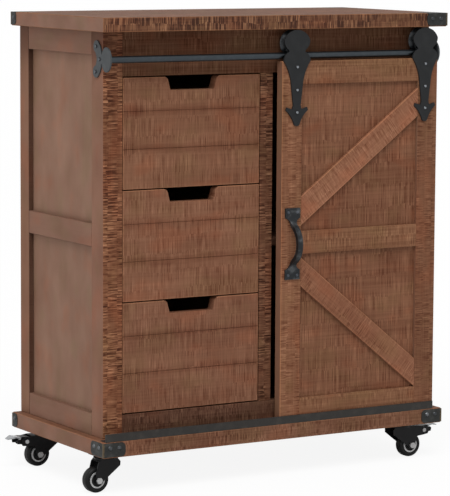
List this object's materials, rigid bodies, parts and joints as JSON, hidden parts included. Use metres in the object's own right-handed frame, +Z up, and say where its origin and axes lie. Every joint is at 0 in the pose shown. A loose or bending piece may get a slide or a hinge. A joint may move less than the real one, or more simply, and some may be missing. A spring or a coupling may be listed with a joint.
{
  "type": "sideboard",
  "caption": "Wooden sideboard on swivel casters, with drawers on the left and a sliding barn door on a round rail over a shelved compartment.",
  "frame": {"origin": "centre of the whole object's box, on the floor under the casters", "axes": "+X to the right seen from the front, +Y to the back, +Z up"},
  "size_m": [0.744, 0.3638, 0.8],
  "materials": {
    "top_wood": "rough sawn, stained brown, matt",
    "base_wood": "rough sawn, stained brown, matt",
    "carcase_wood": "rough sawn, stained brown, matt",
    "inner_wood": "planed, stained brown, matt",
    "drawer_front_wood": "rough sawn, stained brown, matt",
    "door_wood": "rough sawn, stained brown, matt",
    "dark_iron": "gunmetal powder coat",
    "roller_steel": "turned",
    "caster_steel": "black zinc",
    "bright_steel": "zinc plated",
    "tyre": "matt rubber"
  },
  "bodies": {
    "cabinet": {"top_board": "top_wood", "base_board": "base_wood", "front_left_post": "carcase_wood", "front_right_post": "carcase_wood", "rear_left_post": "carcase_wood", "rear_right_post": "carcase_wood", "left_side_rails": "carcase_wood", "right_side_rails": "carcase_wood", "left_side_panels": "carcase_wood", "right_side_panels": "carcase_wood", "front_top_rail": "carcase_wood", "front_bottom_rail": "carcase_wood", "front_divider": "carcase_wood", "partition": "inner_wood", "back_panel": "inner_wood", "shelf": "inner_wood", "drawer_runners": "inner_wood", "rail_bar": "dark_iron", "left_rail_bracket": "dark_iron", "right_rail_bracket": "dark_iron", "bracket_screws": "dark_iron", "floor_guide": "dark_iron", "top_corner_irons": "dark_iron", "base_corner_irons": "dark_iron", "corner_studs": "dark_iron", "caster_plates": "caster_steel"},
    "bottom_drawer": {"bottom_drawer_front": "drawer_front_wood", "bottom_drawer_sides": "inner_wood", "bottom_drawer_back": "inner_wood", "bottom_drawer_bottom": "inner_wood"},
    "middle_drawer": {"middle_drawer_front": "drawer_front_wood", "middle_drawer_sides": "inner_wood", "middle_drawer_back": "inner_wood", "middle_drawer_bottom": "inner_wood"},
    "top_drawer": {"top_drawer_front": "drawer_front_wood", "top_drawer_sides": "inner_wood", "top_drawer_back": "inner_wood", "top_drawer_bottom": "inner_wood"},
    "door": {"door_panels": "door_wood", "door_left_stile": "door_wood", "door_right_stile": "door_wood", "door_rails": "door_wood", "door_upper_brace": "door_wood", "door_lower_brace": "door_wood", "door_handle": "dark_iron", "left_hanger": "dark_iron", "right_hanger": "dark_iron", "hanger_bolts": "dark_iron"},
    "left_roller": {"left_roller": "roller_steel"},
    "right_roller": {"right_roller": "roller_steel"},
    "front_left_fork": {"front_left_fork": "caster_steel"},
    "front_left_wheel": {"front_left_wheel": "tyre"},
    "front_right_fork": {"front_right_fork": "caster_steel"},
    "front_right_wheel": {"front_right_wheel": "tyre"},
    "front_right_pedal": {"front_right_brake_pedal": "bright_steel"},
    "rear_left_fork": {"rear_left_fork": "caster_steel"},
    "rear_left_wheel": {"rear_left_wheel": "tyre"},
    "rear_left_pedal": {"rear_left_brake_pedal": "bright_steel"},
    "rear_right_fork": {"rear_right_fork": "caster_steel"},
    "rear_right_wheel": {"rear_right_wheel": "tyre"}
  },
  "joints": [
    {"name": "bottom_drawer_slide", "type": "slide", "parent": "cabinet", "child": "bottom_drawer", "axis": [0, -1, 0], "range_m": [0, 0.225]},
    {"name": "middle_drawer_slide", "type": "slide", "parent": "cabinet", "child": "middle_drawer", "axis": [0, -1, 0], "range_m": [0, 0.225]},
    {"name": "top_drawer_slide", "type": "slide", "parent": "cabinet", "child": "top_drawer", "axis": [0, -1, 0], "range_m": [0, 0.225]},
    {"name": "door_slide", "type": "slide", "parent": "cabinet", "child": "door", "axis": [1, 0, 0], "range_m": [-0.33, 0]},
    {"name": "left_roller_spin", "type": "hinge", "parent": "door", "child": "left_roller", "pos_m": [0.041, -0.1439, 0.7515], "axis": [0, 1, 0], "continuous": true},
    {"name": "right_roller_spin", "type": "hinge", "parent": "door", "child": "right_roller", "pos_m": [0.309, -0.1439, 0.7515], "axis": [0, 1, 0], "continuous": true},
    {"name": "front_left_swivel", "type": "hinge", "parent": "cabinet", "child": "front_left_fork", "pos_m": [-0.309, -0.1139, 0.06], "axis": [0, 0, 1], "continuous": true},
    {"name": "front_left_wheel_spin", "type": "hinge", "parent": "front_left_fork", "child": "front_left_wheel", "pos_m": [-0.329, -0.1139, 0.022], "axis": [0, 1, 0], "continuous": true},
    {"name": "front_right_swivel", "type": "hinge", "parent": "cabinet", "child": "front_right_fork", "pos_m": [0.292, -0.1139, 0.06], "axis": [0, 0, 1], "continuous": true},
    {"name": "front_right_wheel_spin", "type": "hinge", "parent": "front_right_fork", "child": "front_right_wheel", "pos_m": [0.312, -0.1139, 0.022], "axis": [0, 1, 0], "continuous": true},
    {"name": "front_right_brake", "type": "hinge", "parent": "front_right_fork", "child": "front_right_pedal", "pos_m": [0.338, -0.1139, 0.0475], "axis": [0, 1, 0], "range_deg": [0, 12]},
    {"name": "rear_left_swivel", "type": "hinge", "parent": "cabinet", "child": "rear_left_fork", "pos_m": [-0.292, 0.1361, 0.06], "axis": [0, 0, 1], "continuous": true},
    {"name": "rear_left_wheel_spin", "type": "hinge", "parent": "rear_left_fork", "child": "rear_left_wheel", "pos_m": [-0.312, 0.1361, 0.022], "axis": [0, 1, 0], "continuous": true},
    {"name": "rear_left_brake", "type": "hinge", "parent": "rear_left_fork", "child": "rear_left_pedal", "pos_m": [-0.338, 0.1361, 0.0475], "axis": [0, -1, 0], "range_deg": [0, 12]},
    {"name": "rear_right_swivel", "type": "hinge", "parent": "cabinet", "child": "rear_right_fork", "pos_m": [0.305, 0.1361, 0.06], "axis": [0, 0, 1], "continuous": true},
    {"name": "rear_right_wheel_spin", "type": "hinge", "parent": "rear_right_fork", "child": "rear_right_wheel", "pos_m": [0.285, 0.1361, 0.022], "axis": [0, 1, 0], "continuous": true}
  ],
  "couplings": [
    {"joint": "left_roller_spin", "follows": "door_slide", "rad_per_m": 64.516},
    {"joint": "right_roller_spin", "follows": "door_slide", "rad_per_m": 64.516}
  ]
}
